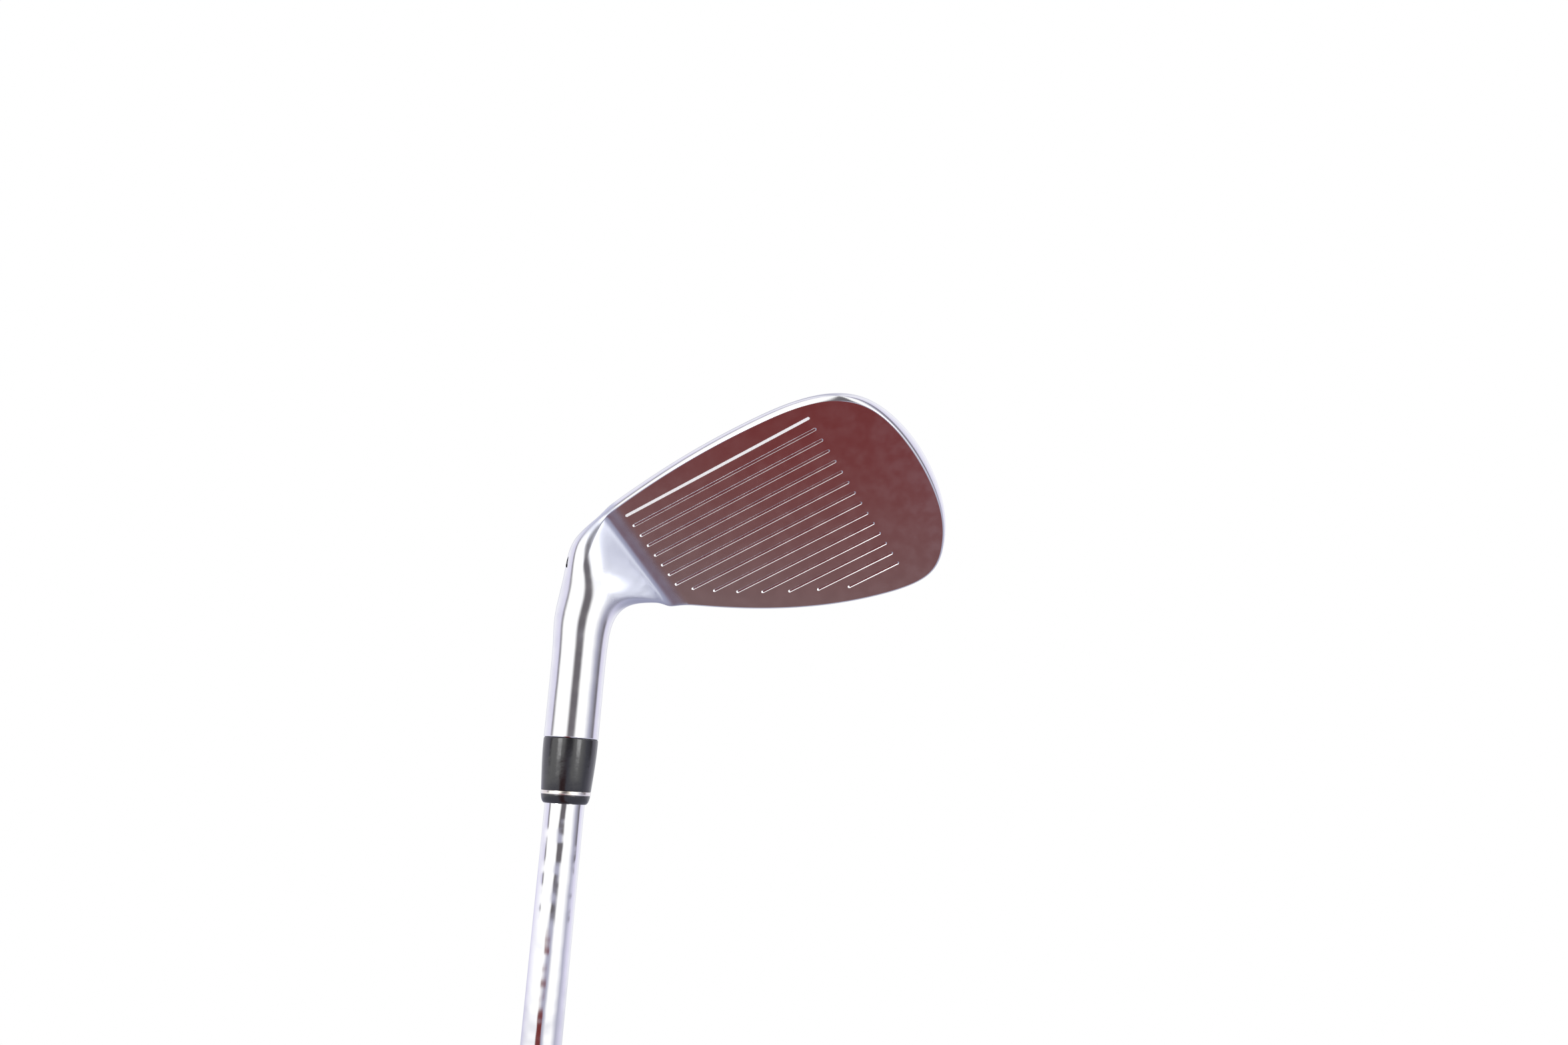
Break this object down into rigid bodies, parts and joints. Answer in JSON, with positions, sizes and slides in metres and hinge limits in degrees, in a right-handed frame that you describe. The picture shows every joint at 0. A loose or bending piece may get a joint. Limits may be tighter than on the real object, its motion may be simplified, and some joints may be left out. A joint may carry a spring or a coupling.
{
  "type": "golf iron",
  "caption": "Cavity-back pitching wedge for a right-handed player, with a chrome head, black ferrule with a silver ring, stepped steel shaft and rubber grip",
  "frame": {"origin": "centre of the flat butt face of the grip, on the shaft axis", "axes": "+Z runs along the shaft from the butt to the head, +X points to the toe and -Y points to the target, in front of the face"},
  "size_m": [0.0961, 0.0572, 0.9366],
  "materials": {
    "head_steel": "satin chrome plate over cast steel",
    "white_paint": "enamel fill",
    "damping_rubber": "matte elastomer",
    "badge_metal": "fine brushed",
    "inlay_plastic": "gloss resin",
    "ferrule_black": "semi-gloss, polished by hand",
    "ferrule_silver": "polished",
    "epoxy": "cured epoxy",
    "weight_brass": "turned",
    "shaft_chrome": "mirror chrome plate over steel tube",
    "band_film": "satin film, blank",
    "tape_paper": "double-sided crepe tape",
    "grip_rubber": "matte rubber with a fine pattern",
    "cap_rubber": "firm rubber"
  },
  "bodies": {
    "root": {"head_body": "head_steel", "groove_paint": "white_paint", "badge_pad": "damping_rubber", "badge_plate": "badge_metal", "badge_inlay": "inlay_plastic", "ferrule_sleeve": "ferrule_black", "ferrule_ring": "ferrule_silver", "ferrule_collar": "ferrule_black", "hosel_epoxy": "epoxy", "tip_weight": "weight_brass", "shaft": "shaft_chrome", "shaft_band": "band_film", "grip_tape": "tape_paper", "grip": "grip_rubber", "grip_cap": "cap_rubber"}
  },
  "joints": []
}
